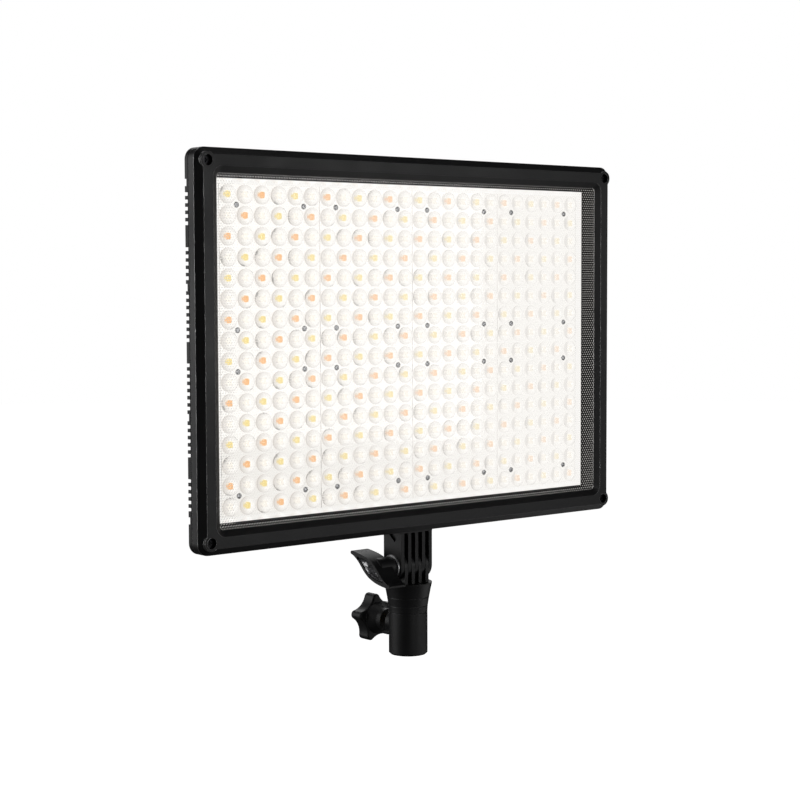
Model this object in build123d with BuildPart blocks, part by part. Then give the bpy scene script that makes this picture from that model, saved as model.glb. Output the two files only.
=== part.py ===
"""LED panel light on a tilting light-stand adapter, in millimetres.

Origin: centre of the stand socket's mouth. +Z points up, the panel shines towards -Y, and +X is to the
right of someone who faces the panel. Panel pieces are drawn on planes parallel to the panel's face, where
x is X and y is the height above the panel's centre.
"""

from build123d import *
import os
from math import atan2, degrees

os.makedirs("parts", exist_ok=True)

# ---------------------------------------------------------------- driving dimensions
# Heights of the two reference axes above the socket's mouth
PANEL_Z = 195.0
TILT_Z = 56.4

# Lens array
PITCH = 12.0
TILE_COLUMNS, TILE_ROWS = 6, 8
TILES_ACROSS, TILES_UP = 4, 2
LENS_RADIUS, LENS_RISE, LENS_EDGE = 5.5, 3.4, 0.7
LENS_CAP = LENS_RISE - LENS_EDGE
LENS_BALL = (LENS_RADIUS**2 + LENS_CAP**2) / (2 * LENS_CAP)
TILE_THICK = 0.5
COLUMNS = TILE_COLUMNS * TILES_ACROSS
ROWS = TILE_ROWS * TILES_UP

# Panel outline
PANEL_W, PANEL_H, PANEL_CORNER = 332.0, 231.0, 7.0
WINDOW_W, WINDOW_H, WINDOW_CORNER = 303.2, 202.2, 2.5

# Depth of each layer, from the front face to the rear wall
FACE_Y = -17.0
GUIDE_FRONT_Y, GUIDE_BACK_Y = -14.4, -12.4
SIDE_Y = -12.9
BEZEL_BACK_Y = -7.6
RIM_Y = -7.1
SHELF_Y = -4.0
BOARD_Y, BOARD_THICK = -4.0, 1.4
CHIP_THICK = 0.6
TILE_BACK_Y = BOARD_Y - CHIP_THICK - 0.06
TILE_FRONT_Y = TILE_BACK_Y - TILE_THICK
SPREADER_THICK = 1.8
SPREADER_BACK_Y = BOARD_Y + BOARD_THICK + SPREADER_THICK
REAR_Y = 13.0
WALL = 2.2

# Front bezel
CHAMFER_IN = 4.0
BEVEL_IN = 4.0
BEZEL_WALL = 3.2
SCREW_X, SCREW_Z = 158.9, 108.0
LOBE_RADIUS = 4.8
LOBE_BACK_Y = -11.4
SCREW_SEAT_Y = -12.6
SCREW_HOLE_RADIUS, SCREW_HEAD_RADIUS = 3.1, 2.75

# Rear shell
HUMP_W, HUMP_H, HUMP_CORNER = 320.0, 218.4, 16.0
HUMP_IN = 10.0
HUMP_WALL = 2.6
FOOT_HALF = 22.0

# Stand socket and lock knob
STUD_BORE_RADIUS, BORE_DEPTH = 8.1, 40.0
SOCKET_RADIUS, SOCKET_TOP = 12.25, 45.7
KNOB_Z, KNOB_RADIUS = 18.3, 15.6
M6_RADIUS = 3.0
RUNNING = 0.06

# Tilt joint
FIN_COUNT, FIN_PITCH, FIN_GAP = 9, 25.5 / 9, 0.3
KNUCKLE_HALF, KNUCKLE_RADIUS = 12.75, 8.6
KNUCKLE_TOP = PANEL_Z - PANEL_H / 2 - 0.1

# Rear controls, as heights above the panel's centre
FASCIA_Z, FASCIA_W, FASCIA_H = -38.0, 112.0, 92.0
FASCIA_Y = REAR_Y + 1.6
DISPLAY_Z, DISPLAY_W, DISPLAY_H = -9.0, 46.0, 23.0
DIAL_X, DIAL_Z, DIAL_RADIUS = 34.0, -42.0, 8.5
BUTTON_X, BUTTON_Z, BUTTON_W, BUTTON_H = 9.0, -38.0, 8.6, 5.6
ROCKER_X, PORT_Z, INLET_X = -22.0, -70.0, 22.0
PLATE_X, PLATE_Z, PLATE_W, PLATE_H, PLATE_THICK = 100.0, 8.0, 42.0, 76.0, 3.5
LATCH_Z = PLATE_Z + 28.0


def facing_front(y):
    """The plane at depth y whose x is X and whose y is height above the panel's centre."""
    return Plane(origin=(0, y, PANEL_Z), x_dir=(1, 0, 0), z_dir=(0, -1, 0))


def facing_rear(y):
    """The same plane seen from the rear, for tapers that close towards the rear."""
    return Plane(origin=(0, y, PANEL_Z), x_dir=(-1, 0, 0), z_dir=(0, 1, 0))


def slab(width, height, front, back, corner=0.0, at=((0, 0),), mode=Mode.ADD):
    """Adds a rectangular block between two depths to the part being built, once at each place."""
    with BuildSketch(facing_front(back)) as outline:
        with Locations(*at):
            if corner:
                RectangleRounded(width, height, corner)
            else:
                Rectangle(width, height)
    extrude(outline.sketch, amount=back - front, mode=mode)


def rod(radius, front, back, at=((0, 0),), mode=Mode.ADD):
    """Adds a cylinder between two depths to the part being built, once at each place."""
    with BuildSketch(facing_front(back)) as outline:
        with Locations(*at):
            Circle(radius)
    extrude(outline.sketch, amount=back - front, mode=mode)


def grid(step_x, step_z, columns, rows, centre=(0.0, 0.0)):
    """Centres of a grid of places, row by row."""
    return [
        (centre[0] + (i - (columns - 1) / 2) * step_x, centre[1] + (j - (rows - 1) / 2) * step_z)
        for j in range(rows)
        for i in range(columns)
    ]


CORNERS = grid(2 * SCREW_X, 2 * SCREW_Z, 2, 2)
TILE_CENTRES = grid(TILE_COLUMNS * PITCH, TILE_ROWS * PITCH, TILES_ACROSS, TILES_UP)
TILE_SCREWS = [place for centre in TILE_CENTRES for place in grid(4 * PITCH, 6 * PITCH, 2, 2, centre)]

# ---------------------------------------------------------------- front bezel
chamfer_angle = degrees(atan2(CHAMFER_IN, SIDE_Y - FACE_Y))
bevel_angle = degrees(atan2(BEVEL_IN, GUIDE_FRONT_Y - FACE_Y))

with BuildPart() as front_bezel:
    slab(PANEL_W, PANEL_H, SIDE_Y, BEZEL_BACK_Y, PANEL_CORNER)
    with BuildSketch(facing_front(SIDE_Y)):
        RectangleRounded(PANEL_W, PANEL_H, PANEL_CORNER)
    extrude(amount=SIDE_Y - FACE_Y, taper=chamfer_angle)
    slab(
        PANEL_W - 2 * BEZEL_WALL,
        PANEL_H - 2 * BEZEL_WALL,
        GUIDE_FRONT_Y,
        BEZEL_BACK_Y,
        PANEL_CORNER - BEZEL_WALL,
        mode=Mode.SUBTRACT,
    )
    rod(LOBE_RADIUS, FACE_Y, LOBE_BACK_Y, CORNERS)
    with BuildSketch(facing_rear(FACE_Y)):
        RectangleRounded(WINDOW_W + 2 * BEVEL_IN, WINDOW_H + 2 * BEVEL_IN, WINDOW_CORNER + BEVEL_IN)
    extrude(amount=GUIDE_FRONT_Y - FACE_Y, taper=bevel_angle, mode=Mode.SUBTRACT)
    rod(SCREW_HOLE_RADIUS, FACE_Y, SCREW_SEAT_Y, CORNERS, Mode.SUBTRACT)
    rod(1.6, SCREW_SEAT_Y, LOBE_BACK_Y, CORNERS, Mode.SUBTRACT)
front_bezel.part.label = "front_bezel"
export_step(front_bezel.part, "parts/front_bezel.step")

with BuildPart() as corner_screws:
    rod(SCREW_HEAD_RADIUS, SCREW_SEAT_Y - 1.8, SCREW_SEAT_Y, CORNERS)
    rod(1.25, SCREW_SEAT_Y, RIM_Y + 2.0, CORNERS)
    slab(0.7, 2.8, SCREW_SEAT_Y - 1.8, SCREW_SEAT_Y - 0.8, at=CORNERS, mode=Mode.SUBTRACT)
    slab(2.8, 0.7, SCREW_SEAT_Y - 1.8, SCREW_SEAT_Y - 0.8, at=CORNERS, mode=Mode.SUBTRACT)
corner_screws.part.label = "corner_screws"
export_step(corner_screws.part, "parts/corner_screws.step")

# ---------------------------------------------------------------- light guide and its edge lights
GUIDE_W, GUIDE_H = WINDOW_W + 4.0, WINDOW_H + 4.0

with BuildPart() as light_guide_plate:
    slab(GUIDE_W, GUIDE_H, GUIDE_FRONT_Y, GUIDE_BACK_Y, 1.0)
light_guide_plate.part.label = "light_guide_plate"
export_step(light_guide_plate.part, "parts/light_guide_plate.step")

EDGE_STRIP_LENGTH, EDGE_LEDS = 192.0, 32
for side, name in ((-1, "edge_led_strip_left"), (1, "edge_led_strip_right")):
    strip_x = side * (GUIDE_W / 2 + 0.9)
    led_x = side * (GUIDE_W / 2 + 0.25)
    with BuildPart() as edge_led_strip:
        slab(1.0, EDGE_STRIP_LENGTH, GUIDE_FRONT_Y, GUIDE_BACK_Y, at=((strip_x, 0),))
        slab(
            0.3,
            3.0,
            GUIDE_FRONT_Y + 0.2,
            GUIDE_BACK_Y - 0.2,
            at=grid(0, EDGE_STRIP_LENGTH / EDGE_LEDS, 1, EDGE_LEDS, (led_x, 0)),
        )
    edge_led_strip.part.label = name
    export_step(edge_led_strip.part, f"parts/{name}.step")

# ---------------------------------------------------------------- inner frame
FRAME_FRONT_Y = GUIDE_BACK_Y + 0.05
FLOOR_Y = BOARD_Y - 0.6
WHITE_W, WHITE_H = 300.4, 198.2

with BuildPart() as inner_frame:
    slab(PANEL_W - 7.2, PANEL_H - 7.2, FRAME_FRONT_Y, BEZEL_BACK_Y, 3.0)
    slab(HUMP_W - 8.0, HUMP_H - 8.0, BEZEL_BACK_Y, BOARD_Y + BOARD_THICK, 14.0)
    slab(WINDOW_W, WINDOW_H, FRAME_FRONT_Y, FLOOR_Y, WINDOW_CORNER, mode=Mode.SUBTRACT)
    slab(WHITE_W + 0.2, WHITE_H + 0.2, FLOOR_Y, BOARD_Y + BOARD_THICK, mode=Mode.SUBTRACT)
    slab(10.2, 10.2, FRAME_FRONT_Y, BOARD_Y + BOARD_THICK, at=CORNERS, mode=Mode.SUBTRACT)
inner_frame.part.label = "inner_frame"
export_step(inner_frame.part, "parts/inner_frame.step")

# ---------------------------------------------------------------- LED board, chips and lens tiles
with BuildPart() as led_board:
    slab(WHITE_W, WHITE_H, BOARD_Y, BOARD_Y + BOARD_THICK)
    rod(0.85, BOARD_Y, BOARD_Y + BOARD_THICK, TILE_SCREWS, Mode.SUBTRACT)
led_board.part.label = "led_board"
export_step(led_board.part, "parts/led_board.step")


def chip_places(kind):
    """Places of one kind of chip. Diagonals alternate: colour chips, then daylight or tungsten."""
    places = []
    for row in range(ROWS):
        for column in range(COLUMNS):
            diagonal = (row + column + 2) % 4
            found = {0: "tungsten", 2: "daylight"}.get(diagonal, "colour")
            if found == kind:
                x = (column - (COLUMNS - 1) / 2) * PITCH
                z = ((ROWS - 1) / 2 - row) * PITCH
                places.append((x, z))
    return places


for kind in ("daylight", "tungsten", "colour"):
    with BuildPart() as led_chips:
        slab(3.0, 3.0, BOARD_Y - 0.02 - CHIP_THICK, BOARD_Y - 0.02, at=chip_places(kind))
    led_chips.part.label = f"led_chips_{kind}"
    export_step(led_chips.part, f"parts/led_chips_{kind}.step")

with BuildPart() as lens:
    with BuildSketch(Plane.XZ):
        with BuildLine():
            edge = Line((LENS_RADIUS, -0.2), (LENS_RADIUS, LENS_EDGE))
            RadiusArc(edge @ 1, (0, LENS_RISE), -LENS_BALL)
            Line((0, LENS_RISE), (0, -0.2))
            Line((0, -0.2), edge @ 0)
        make_face()
    revolve(axis=Axis.Z)

with BuildPart(facing_front(TILE_BACK_Y)) as lens_tile:
    Box(
        TILE_COLUMNS * PITCH - 0.3,
        TILE_ROWS * PITCH - 0.3,
        TILE_THICK,
        align=(Align.CENTER, Align.CENTER, Align.MIN),
    )
    with Locations((0, 0, TILE_THICK)):
        with GridLocations(PITCH, PITCH, TILE_COLUMNS, TILE_ROWS):
            add(lens.part)
    with GridLocations(4 * PITCH, 6 * PITCH, 2, 2):
        Cylinder(
            0.95,
            TILE_THICK,
            align=(Align.CENTER, Align.CENTER, Align.MIN),
            mode=Mode.SUBTRACT,
        )

for number, (x, z) in enumerate(TILE_CENTRES, 1):
    tile = lens_tile.part.moved(Location((x, 0, z)))
    tile.label = f"lens_tile_{number}"
    export_step(tile, f"parts/lens_tile_{number}.step")

with BuildPart() as lens_screws:
    rod(1.75, TILE_FRONT_Y - 0.7, TILE_FRONT_Y, TILE_SCREWS)
    rod(0.8, TILE_FRONT_Y, SPREADER_BACK_Y - 0.3, TILE_SCREWS)
lens_screws.part.label = "lens_screws"
export_step(lens_screws.part, "parts/lens_screws.step")

# ---------------------------------------------------------------- heat spreader and driver electronics
RIB_STEP, RIB_COUNT, RIB_CENTRE = 8.0, 7, 108.0
RIBS = grid(RIB_STEP, 0, RIB_COUNT, 1, (-RIB_CENTRE, 0)) + grid(RIB_STEP, 0, RIB_COUNT, 1, (RIB_CENTRE, 0))

with BuildPart() as heat_spreader:
    slab(309.0, 207.0, BOARD_Y + BOARD_THICK, SPREADER_BACK_Y, 13.0)
    slab(1.2, 172.0, SPREADER_BACK_Y, SPREADER_BACK_Y + 6.5, at=RIBS)
    rod(0.85, BOARD_Y + BOARD_THICK, SPREADER_BACK_Y, TILE_SCREWS, Mode.SUBTRACT)
heat_spreader.part.label = "heat_spreader"
export_step(heat_spreader.part, "parts/heat_spreader.step")

DRIVER_Z, DRIVER_W, DRIVER_H = 46.0, 138.0, 58.0
DRIVER_Y = SPREADER_BACK_Y + 4.0
DRIVER_HOLES = grid(DRIVER_W - 8, DRIVER_H - 8, 2, 2, (0, DRIVER_Z))
CONTROL_Z, CONTROL_W, CONTROL_H = -27.0, 104.0, 58.0
CONTROL_Y = 5.2
CONTROL_HOLES = grid(CONTROL_W - 8, CONTROL_H - 8, 2, 2, (0, CONTROL_Z))

with BuildPart() as driver_board:
    slab(DRIVER_W, DRIVER_H, DRIVER_Y, DRIVER_Y + 1.6, 1.5, ((0, DRIVER_Z),))
    rod(1.6, DRIVER_Y, DRIVER_Y + 1.6, DRIVER_HOLES, Mode.SUBTRACT)
driver_board.part.label = "driver_board"
export_step(driver_board.part, "parts/driver_board.step")

PARTS_Y = DRIVER_Y + 1.6
with BuildPart() as driver_components:
    slab(12.0, 12.0, PARTS_Y, PARTS_Y + 5.0, 2.0, grid(18, 0, 3, 1, (-38, DRIVER_Z + 12)))
    rod(4.0, PARTS_Y, PARTS_Y + 5.4, grid(12, 0, 4, 1, (36, DRIVER_Z + 12)))
    slab(6.5, 6.0, PARTS_Y, PARTS_Y + 1.8, at=grid(10, 0, 6, 1, (-32, DRIVER_Z - 8)))
    slab(10.0, 10.0, PARTS_Y, PARTS_Y + 1.2, at=((10, DRIVER_Z - 8),))
    slab(22.0, 6.0, PARTS_Y, PARTS_Y + 5.0, at=((42, DRIVER_Z - 16),))
driver_components.part.label = "driver_components"
export_step(driver_components.part, "parts/driver_components.step")

with BuildPart() as board_spacers:
    rod(2.6, SPREADER_BACK_Y, DRIVER_Y, DRIVER_HOLES)
    rod(1.5, DRIVER_Y, DRIVER_Y + 2.4, DRIVER_HOLES)
    rod(2.6, SPREADER_BACK_Y, CONTROL_Y, CONTROL_HOLES)
    rod(1.5, CONTROL_Y, CONTROL_Y + 2.0, CONTROL_HOLES)
board_spacers.part.label = "board_spacers"
export_step(board_spacers.part, "parts/board_spacers.step")

# ---------------------------------------------------------------- rear shell
hump_angle = degrees(atan2(HUMP_IN, REAR_Y - SHELF_Y))
NOTCH_STEP, NOTCH_H = 4.08, 2.05
NOTCH_RUNS = ((7.1, 7), (42.0, 5), (72.8, 5))
NOTCHES = [first + NOTCH_STEP * k for first, count in NOTCH_RUNS for k in range(count)]
WIDE_NOTCHES = (36.75, 95.6)
VENTS = grid(56.0, 6.6, 2, 6, (0, 48.0))


def on_both_sides(x, heights):
    """Places at +x and -x, each height above and below the panel's centre."""
    return [(side * x, sign * height) for side in (-1, 1) for sign in (-1, 1) for height in heights]


with BuildPart() as rear_shell:
    slab(PANEL_W, PANEL_H, RIM_Y, SHELF_Y, PANEL_CORNER)
    with BuildSketch(facing_rear(SHELF_Y)):
        RectangleRounded(HUMP_W, HUMP_H, HUMP_CORNER)
    extrude(amount=REAR_Y - SHELF_Y, taper=hump_angle)
    foot_h = 20.0
    slab(2 * FOOT_HALF, foot_h, SHELF_Y, REAR_Y, at=((0, foot_h / 2 - PANEL_H / 2),))
    # Hollow of the shell
    slab(HUMP_W - 2 * HUMP_WALL, HUMP_H - 2 * HUMP_WALL, RIM_Y, SHELF_Y, HUMP_CORNER - HUMP_WALL,
         mode=Mode.SUBTRACT)
    with BuildSketch(facing_rear(SHELF_Y)):
        RectangleRounded(HUMP_W - 2 * HUMP_WALL, HUMP_H - 2 * HUMP_WALL, HUMP_CORNER - HUMP_WALL)
    extrude(amount=REAR_Y - WALL - SHELF_Y, taper=hump_angle, mode=Mode.SUBTRACT)
    # Screw posts behind the bezel's corners
    rod(3.4, LOBE_BACK_Y + 0.05, RIM_Y, CORNERS)
    rod(1.3, LOBE_BACK_Y, RIM_Y + 2.4, CORNERS, Mode.SUBTRACT)
    # Cooling notches round the sides and slots through the slope behind them
    slab(9.0, NOTCH_H, -6.8, SHELF_Y, at=on_both_sides(PANEL_W / 2, NOTCHES), mode=Mode.SUBTRACT)
    slab(9.0, 2 * NOTCH_H, -5.6, SHELF_Y, at=on_both_sides(PANEL_W / 2, WIDE_NOTCHES), mode=Mode.SUBTRACT)
    slab(9.0, NOTCH_H, SHELF_Y + 1.0, SHELF_Y + 9.0, at=on_both_sides(156.0, NOTCHES), mode=Mode.SUBTRACT)
    slab(46.0, 2.4, REAR_Y - WALL, REAR_Y, 1.15, VENTS, Mode.SUBTRACT)
    # Openings for the controls
    slab(DISPLAY_W - 2, DISPLAY_H - 2, REAR_Y - WALL, REAR_Y, at=((0, DISPLAY_Z),), mode=Mode.SUBTRACT)
    rod(3.8, REAR_Y - WALL, REAR_Y, ((-DIAL_X, DIAL_Z), (DIAL_X, DIAL_Z)), Mode.SUBTRACT)
    slab(BUTTON_W + 1.4, BUTTON_H + 1.4, REAR_Y - WALL, REAR_Y, 1.8,
         ((-BUTTON_X, BUTTON_Z), (BUTTON_X, BUTTON_Z)), Mode.SUBTRACT)
    slab(19.4, 13.4, REAR_Y - WALL, REAR_Y, at=((ROCKER_X, PORT_Z),), mode=Mode.SUBTRACT)
    rod(5.5, REAR_Y - WALL, REAR_Y, ((INLET_X, PORT_Z),), Mode.SUBTRACT)
    # Socket in the foot for the tilt bracket's root, with two screw holes into the shell
    with Locations((0, 2.9, 83.3)):
        Box(2 * KNUCKLE_HALF + 0.1, 13.4, 8.0, mode=Mode.SUBTRACT)
    with Locations(Plane.XY.offset(87.3)):
        with Locations((-7, 3), (7, 3)):
            Cylinder(2.1, 20, align=(Align.CENTER, Align.CENTER, Align.MIN), mode=Mode.SUBTRACT)
    with Locations(Plane.XY.offset(89.6)):
        with Locations((-7, 3), (7, 3)):
            Cylinder(4.0, 9, align=(Align.CENTER, Align.CENTER, Align.MIN), mode=Mode.SUBTRACT)
rear_shell.part.label = "rear_shell"
export_step(rear_shell.part, "parts/rear_shell.step")

# ---------------------------------------------------------------- rear controls
FASCIA_HOLES = grid(FASCIA_W - 8, FASCIA_H - 8, 2, 2, (0, FASCIA_Z))
DIALS = ((-DIAL_X, DIAL_Z), (DIAL_X, DIAL_Z))
BUTTONS = ((-BUTTON_X, BUTTON_Z), (BUTTON_X, BUTTON_Z))

with BuildPart() as control_fascia:
    slab(FASCIA_W, FASCIA_H, REAR_Y + 0.05, FASCIA_Y, 4.0, ((0, FASCIA_Z),))
    slab(DISPLAY_W + 0.2, DISPLAY_H + 0.2, REAR_Y, FASCIA_Y, at=((0, DISPLAY_Z),), mode=Mode.SUBTRACT)
    rod(3.7, REAR_Y, FASCIA_Y, DIALS, Mode.SUBTRACT)
    slab(BUTTON_W + 0.6, BUTTON_H + 0.6, REAR_Y, FASCIA_Y, 1.6, BUTTONS, Mode.SUBTRACT)
    slab(19.2, 13.2, REAR_Y, FASCIA_Y, at=((ROCKER_X, PORT_Z),), mode=Mode.SUBTRACT)
    rod(5.45, REAR_Y, FASCIA_Y, ((INLET_X, PORT_Z),), Mode.SUBTRACT)
    rod(1.3, REAR_Y, FASCIA_Y, FASCIA_HOLES, Mode.SUBTRACT)
control_fascia.part.label = "control_fascia"
export_step(control_fascia.part, "parts/control_fascia.step")

with BuildPart() as fascia_screws:
    rod(2.3, FASCIA_Y, FASCIA_Y + 1.2, FASCIA_HOLES)
    rod(1.2, REAR_Y + 0.1, FASCIA_Y, FASCIA_HOLES)
    slab(0.6, 2.6, FASCIA_Y + 0.5, FASCIA_Y + 1.2, at=FASCIA_HOLES, mode=Mode.SUBTRACT)
    slab(2.6, 0.6, FASCIA_Y + 0.5, FASCIA_Y + 1.2, at=FASCIA_HOLES, mode=Mode.SUBTRACT)
fascia_screws.part.label = "fascia_screws"
export_step(fascia_screws.part, "parts/fascia_screws.step")

with BuildPart() as display_window:
    slab(DISPLAY_W, DISPLAY_H, REAR_Y + 0.4, FASCIA_Y + 0.1, at=((0, DISPLAY_Z),))
display_window.part.label = "display_window"
export_step(display_window.part, "parts/display_window.step")

with BuildPart() as display_module:
    slab(DISPLAY_W - 3, DISPLAY_H - 3, CONTROL_Y + 1.2, REAR_Y + 0.2, at=((0, DISPLAY_Z),))
display_module.part.label = "display_module"
export_step(display_module.part, "parts/display_module.step")

with BuildPart() as control_board:
    slab(CONTROL_W, CONTROL_H, CONTROL_Y, CONTROL_Y + 1.2, 1.5, ((0, CONTROL_Z),))
    rod(1.6, CONTROL_Y, CONTROL_Y + 1.2, CONTROL_HOLES, Mode.SUBTRACT)
control_board.part.label = "control_board"
export_step(control_board.part, "parts/control_board.step")

with BuildPart() as tact_switches:
    slab(6.0, 6.0, CONTROL_Y + 1.2, CONTROL_Y + 4.2, at=BUTTONS)
    rod(1.7, CONTROL_Y + 4.2, CONTROL_Y + 4.9, BUTTONS)
tact_switches.part.label = "tact_switches"
export_step(tact_switches.part, "parts/tact_switches.step")

for side, name in ((-1, "mode_button"), (1, "menu_button")):
    with BuildPart() as button:
        slab(BUTTON_W, BUTTON_H, 11.3, FASCIA_Y + 1.0, 1.4, ((side * BUTTON_X, BUTTON_Z),))
        fillet(button.faces().sort_by(Axis.Y)[-1].edges(), 0.5)
    button.part.label = name
    export_step(button.part, f"parts/{name}.step")

BUSHING_TOP = 15.5
KNURLS, DIAL_TOP = 24, 25.6
for side, name in ((-1, "brightness"), (1, "colour")):
    dial_axis = ((side * DIAL_X, DIAL_Z),)
    with BuildPart() as encoder:
        slab(12.0, 12.0, CONTROL_Y + 1.2, REAR_Y - WALL - 0.2, 0.8, dial_axis)
        rod(3.5, REAR_Y - WALL - 0.2, BUSHING_TOP, dial_axis)
        rod(M6_RADIUS + RUNNING, CONTROL_Y + 3.2, BUSHING_TOP, dial_axis, Mode.SUBTRACT)
    encoder.part.label = f"{name}_encoder"
    export_step(encoder.part, f"parts/{name}_encoder.step")
    with BuildPart() as dial:
        rod(DIAL_RADIUS, FASCIA_Y + 0.4, DIAL_TOP, dial_axis)
        chamfer(dial.faces().sort_by(Axis.Y)[-1].edges(), 0.8)
        rod(4.0, FASCIA_Y + 0.4, BUSHING_TOP + 0.4, dial_axis, Mode.SUBTRACT)
        rod(M6_RADIUS, CONTROL_Y + 3.6, BUSHING_TOP + 0.4, dial_axis)
        with BuildSketch(facing_front(DIAL_TOP)):
            with Locations(*dial_axis):
                with PolarLocations(DIAL_RADIUS + 0.25, KNURLS):
                    Circle(0.6)
        extrude(amount=DIAL_TOP - FASCIA_Y - 2.4, mode=Mode.SUBTRACT)
    dial.part.label = f"{name}_knob"
    export_step(dial.part, f"parts/{name}_knob.step")

ROCKER_PIVOT_Y, ROCKER_LEAN = 13.8, 8.0
with BuildPart() as power_switch_housing:
    slab(19.0, 13.0, 2.5, FASCIA_Y, at=((ROCKER_X, PORT_Z),))
    slab(21.5, 15.5, FASCIA_Y, FASCIA_Y + 1.2, 1.2, ((ROCKER_X, PORT_Z),))
    slab(16.6, 10.6, 7.0, FASCIA_Y + 1.2, at=((ROCKER_X, PORT_Z),), mode=Mode.SUBTRACT)
    with Locations((ROCKER_X, ROCKER_PIVOT_Y, PANEL_Z + PORT_Z)):
        Cylinder(0.86, 12.0, mode=Mode.SUBTRACT)
power_switch_housing.part.label = "power_switch_housing"
export_step(power_switch_housing.part, "parts/power_switch_housing.step")

with BuildPart() as power_rocker:
    with BuildSketch(Plane.XY.offset(PANEL_Z + PORT_Z)):
        with Locations(Location((ROCKER_X, ROCKER_PIVOT_Y, 0), ROCKER_LEAN)):
            Rectangle(15.4, 3.4)
    extrude(amount=5.0, both=True)
    with Locations((ROCKER_X, ROCKER_PIVOT_Y, PANEL_Z + PORT_Z)):
        Cylinder(0.8, 11.6)
power_rocker.part.label = "power_rocker"
export_step(power_rocker.part, "parts/power_rocker.step")

with BuildPart() as dc_inlet:
    rod(5.4, 3.0, FASCIA_Y, ((INLET_X, PORT_Z),))
    rod(6.6, FASCIA_Y, FASCIA_Y + 0.8, ((INLET_X, PORT_Z),))
    rod(2.75, 5.5, FASCIA_Y + 0.8, ((INLET_X, PORT_Z),), Mode.SUBTRACT)
    rod(1.0, 5.0, FASCIA_Y, ((INLET_X, PORT_Z),))
dc_inlet.part.label = "dc_inlet"
export_step(dc_inlet.part, "parts/dc_inlet.step")

# ---------------------------------------------------------------- battery plates
PLATE_Y = REAR_Y + 0.05
PLATE_FRONT = PLATE_Y + PLATE_THICK
RAIL_LENGTH, RAIL_RISE = 58.0, 3.2


def battery_places(x_offset, z_offset):
    """The same place on both battery plates."""
    return [(side * PLATE_X + x_offset, PLATE_Z + z_offset) for side in (-1, 1)]


PLATE_SCREWS = [
    (side * PLATE_X + place[0], PLATE_Z + place[1])
    for side in (-1, 1)
    for place in grid(PLATE_W - 16, PLATE_H - 10, 2, 2)
]

for side, name in ((-1, "left"), (1, "right")):
    centre = side * PLATE_X
    rails = [(centre - PLATE_W / 2 + 1.5, PLATE_Z), (centre + PLATE_W / 2 - 1.5, PLATE_Z)]
    lips = [(centre - PLATE_W / 2 + 2.1, PLATE_Z), (centre + PLATE_W / 2 - 2.1, PLATE_Z)]
    with BuildPart() as battery_plate:
        slab(PLATE_W, PLATE_H, PLATE_Y, PLATE_FRONT, 3.0, ((centre, PLATE_Z),))
        slab(3.0, RAIL_LENGTH, PLATE_FRONT, PLATE_FRONT + RAIL_RISE, at=rails)
        slab(4.2, RAIL_LENGTH, PLATE_FRONT + RAIL_RISE, PLATE_FRONT + RAIL_RISE + 1.0, at=lips)
        slab(PLATE_W - 23.0, 3.0, PLATE_FRONT, PLATE_FRONT + 4.2, at=((centre, PLATE_Z - PLATE_H / 2 + 4.5),))
        slab(10.0, 8.0, PLATE_Y, PLATE_FRONT, at=((centre, LATCH_Z),), mode=Mode.SUBTRACT)
        slab(
            1.4,
            9.4,
            PLATE_Y,
            PLATE_FRONT,
            at=grid(7, 0, 3, 1, (centre, PLATE_Z - 22)),
            mode=Mode.SUBTRACT,
        )
        rod(1.3, PLATE_Y, PLATE_FRONT, [p for p in PLATE_SCREWS if p[0] * side > 0], Mode.SUBTRACT)
    battery_plate.part.label = f"battery_plate_{name}"
    export_step(battery_plate.part, f"parts/battery_plate_{name}.step")
    with BuildPart() as battery_latch:
        slab(9.4, 7.4, PLATE_FRONT - 1.75, PLATE_FRONT + 1.5, at=((centre, LATCH_Z),))
        chamfer(battery_latch.faces().sort_by(Axis.Y)[-1].edges().sort_by(Axis.Z)[-1], 1.1)
    battery_latch.part.label = f"battery_latch_{name}"
    export_step(battery_latch.part, f"parts/battery_latch_{name}.step")

with BuildPart() as battery_contacts:
    blades = [place for x in (-7, 0, 7) for place in battery_places(x, -22)]
    slab(1.2, 9.0, PLATE_Y + 0.05, PLATE_FRONT + 2.6, at=blades)
battery_contacts.part.label = "battery_contacts"
export_step(battery_contacts.part, "parts/battery_contacts.step")

with BuildPart() as battery_plate_screws:
    rod(2.2, PLATE_FRONT, PLATE_FRONT + 1.2, PLATE_SCREWS)
    rod(1.2, PLATE_Y + 0.1, PLATE_FRONT, PLATE_SCREWS)
    slab(0.6, 2.6, PLATE_FRONT + 0.5, PLATE_FRONT + 1.2, at=PLATE_SCREWS, mode=Mode.SUBTRACT)
    slab(2.6, 0.6, PLATE_FRONT + 0.5, PLATE_FRONT + 1.2, at=PLATE_SCREWS, mode=Mode.SUBTRACT)
battery_plate_screws.part.label = "battery_plate_screws"
export_step(battery_plate_screws.part, "parts/battery_plate_screws.step")

# ---------------------------------------------------------------- tilt bracket above the joint
FIN_THICK = FIN_PITCH - FIN_GAP
MARK_DEPTH = 1.9


def fin_start(number):
    """X of a fin's left face, counted from the left."""
    return (number - (FIN_COUNT - 1) / 2) * FIN_PITCH - FIN_THICK / 2


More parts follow.
